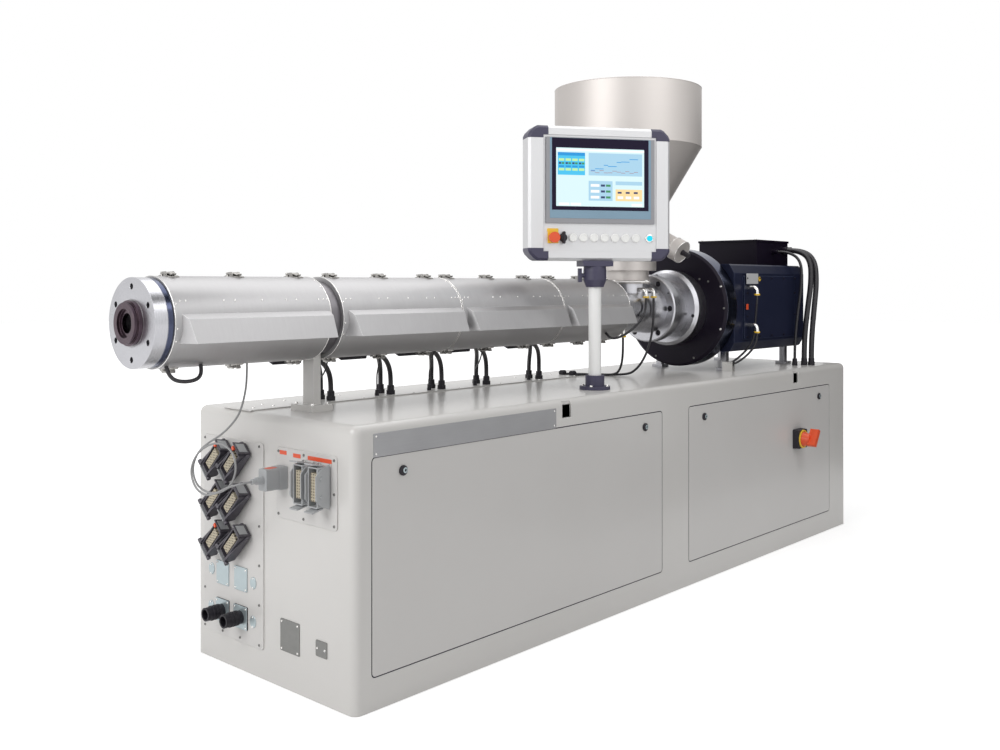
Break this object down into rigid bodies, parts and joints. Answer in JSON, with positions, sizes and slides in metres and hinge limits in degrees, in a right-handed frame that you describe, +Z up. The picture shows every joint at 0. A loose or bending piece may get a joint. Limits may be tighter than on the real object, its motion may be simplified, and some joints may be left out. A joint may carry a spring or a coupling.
{
  "type": "single-screw plastic extruder",
  "caption": "Single-screw plastic extruder on a welded frame, with guarded barrel, die flange, hopper, direct drive motor and operator panel.",
  "frame": {"origin": "centre of the machine frame's footprint, on the floor", "axes": "+X along the barrel towards the motor, +Z up; the front covers and the operator panel face -Y"},
  "size_m": [3.67, 0.9034, 2.052],
  "materials": {
    "frame_paint": "satin warm grey powder coat",
    "cover_paint": "satin warm grey powder coat on lift-off covers",
    "black_plastic": "matte black moulded plastic",
    "violet_plastic": "dark violet-grey moulded plastic",
    "grey_plastic": "light grey moulded plastic",
    "white_plastic": "white push button caps",
    "cream_plastic": "cream contact inserts",
    "red_plastic": "red operating handle and stop button",
    "zinc": "zinc plated sheet",
    "guard_steel": "brushed sheet steel guards",
    "machined_steel": "turned and ground steel",
    "blued_steel": "dark heat-blued steel",
    "barrel_steel": "nitrided steel",
    "stainless": "stainless sheet, fine satin",
    "black_paint": "black satin paint",
    "motor_paint": "dark blue-grey paint",
    "nickel": "nickel plated fittings",
    "pole_paint": "white powder coat",
    "panel_aluminium": "anodised aluminium profile and sheet",
    "screen_glass": "black screen front with a lit display",
    "cable_jacket": "black cable jacket",
    "sensor_jacket": "grey cable jacket"
  },
  "bodies": {
    "machine": {"barrel_lead": "cable_jacket", "barrel_pedestal": "frame_paint", "barrel_tube": "barrel_steel", "blanking_plates": "zinc", "bulkhead_connectors": "black_plastic", "cable_glands": "black_plastic", "connector_inserts": "cream_plastic", "connector_panel": "cover_paint", "cover_latches": "nickel", "cover_locks": "black_plastic", "die_flange": "machined_steel", "drain_spout": "stainless", "drive_disc": "black_paint", "drive_ring": "machined_steel", "extruder_screw": "machined_steel", "feed_adapter": "machined_steel", "feed_housing": "machined_steel", "flange_connectors": "black_plastic", "frame_housing": "frame_paint", "front_cover_left": "cover_paint", "front_cover_right": "cover_paint", "gland_strip": "frame_paint", "hopper_cone": "stainless", "hopper_drum": "stainless", "hopper_neck": "stainless", "lead_ducts": "black_plastic", "motor_body": "motor_paint", "motor_end_cover": "motor_paint", "motor_posts": "machined_steel", "neck_clamp": "stainless", "nose_ring": "blued_steel", "panel_pole": "pole_paint", "pole_foot": "violet_plastic", "power_cables": "cable_jacket", "rear_covers": "cover_paint", "sensor_cable": "sensor_jacket", "signal_connectors": "grey_plastic", "signal_plate": "cover_paint", "signal_plug": "grey_plastic", "spout_cap": "stainless", "support_ring": "machined_steel", "switch_base": "black_plastic", "terminal_box": "black_paint", "terminal_lid": "black_paint", "water_elbows": "nickel", "water_hoses": "cable_jacket", "zone_guard_1": "guard_steel", "zone_guard_2": "guard_steel", "zone_guard_3": "guard_steel", "zone_guard_4": "guard_steel", "zone_hoods": "guard_steel", "zone_leads": "cable_jacket"},
    "panel": {"panel_coupling": "violet_plastic", "panel_frame": "panel_aluminium", "panel_corners": "violet_plastic", "panel_sheets": "panel_aluminium", "touch_screen": "screen_glass", "panel_buttons": "white_plastic"},
    "switch": {"switch_handle": "red_plastic"},
    "stop": {"stop_button": "red_plastic"}
  },
  "joints": [
    {"name": "panel_swivel", "type": "hinge", "parent": "machine", "child": "panel", "pos_m": [-0.311, -0.26, 1.2], "axis": [0, 0, 1], "range_deg": [-55, 100]},
    {"name": "switch_turn", "type": "hinge", "parent": "machine", "child": "switch", "pos_m": [1.071, -0.45, 0.487], "axis": [0, -1, 0], "range_deg": [0, 90]},
    {"name": "stop_push", "type": "slide", "parent": "panel", "child": "stop", "axis": [0.5664, 0.8241, 0], "range_m": [0, 0.005], "stiffness_N_per_m": 400}
  ]
}
